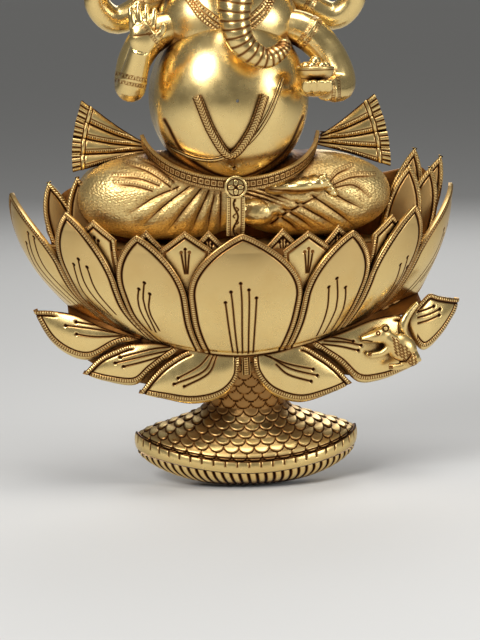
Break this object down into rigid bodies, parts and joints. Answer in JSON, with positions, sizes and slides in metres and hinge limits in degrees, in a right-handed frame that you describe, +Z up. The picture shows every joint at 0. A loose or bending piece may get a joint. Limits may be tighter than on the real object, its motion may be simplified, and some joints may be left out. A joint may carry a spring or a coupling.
{
  "type": "wall relief idol",
  "caption": "Brass wall relief of an elephant-headed seated figure on a lotus with drooping petals and a scaled foot, hung by a ring behind.",
  "frame": {"origin": "lowest point of the web that closes the foot against the wall, in the plane of the wall", "axes": "+Z up, +Y into the wall, the relief faces -Y, +X to the viewer's right"},
  "size_m": [0.4544, 0.1457, 0.658],
  "materials": {
    "polished_brass": "polished with dark patina left in the lines",
    "textured_brass": "chased and stippled, lightly polished on the high spots",
    "aged_brass": "as cast, dull and darkened"
  },
  "bodies": {
    "idol": {"back_petal_left_1": "polished_brass", "back_petal_left_2": "polished_brass", "back_petal_right_1": "polished_brass", "back_petal_right_2": "polished_brass", "back_petal_right_3": "polished_brass", "back_petal_right_4": "polished_brass", "belly": "polished_brass", "blessing_arm": "polished_brass", "bowl_arm": "polished_brass", "broken_tusk": "polished_brass", "chest": "polished_brass", "crossed_foot": "polished_brass", "crown": "polished_brass", "cup_liner": "aged_brass", "cup_petal_centre": "polished_brass", "cup_petal_left_1": "polished_brass", "cup_petal_left_2": "polished_brass", "cup_petal_left_3": "polished_brass", "cup_petal_right_1": "polished_brass", "cup_petal_right_2": "polished_brass", "cup_petal_right_3": "polished_brass", "garland": "textured_brass", "goad": "polished_brass", "goad_arm": "polished_brass", "hanger_lug": "aged_brass", "head": "polished_brass", "inner_petal_left_1": "polished_brass", "inner_petal_left_2": "polished_brass", "inner_petal_right_1": "polished_brass", "inner_petal_right_2": "polished_brass", "left_ear": "polished_brass", "left_leg": "textured_brass", "lower_petal_left_inner": "polished_brass", "lower_petal_left_middle": "polished_brass", "lower_petal_left_outer": "polished_brass", "lower_petal_right_inner": "polished_brass", "lower_petal_right_middle": "polished_brass", "lower_petal_right_outer": "polished_brass", "mouse": "textured_brass", "noose": "polished_brass", "noose_arm": "polished_brass", "pedestal_back": "aged_brass", "ribbed_keel": "textured_brass", "right_ear": "polished_brass", "right_leg": "textured_brass", "sacred_thread": "textured_brass", "scaled_pedestal": "textured_brass", "scarf_left": "textured_brass", "scarf_right": "textured_brass", "seat_plate": "aged_brass", "small_petal_left_1": "polished_brass", "small_petal_left_2": "polished_brass", "small_petal_right_1": "polished_brass", "small_petal_right_2": "polished_brass", "sweets_bowl": "polished_brass", "ticked_band": "textured_brass", "waist_belt": "textured_brass", "waist_sash": "textured_brass", "whole_tusk": "polished_brass"},
    "ring": {"hanging_ring": "aged_brass"}
  },
  "joints": [
    {"name": "ring_swing", "type": "hinge", "parent": "idol", "child": "ring", "pos_m": [-0.006, -0.0115, 0.43], "axis": [1, 0, 0], "range_deg": [0, 175]}
  ]
}
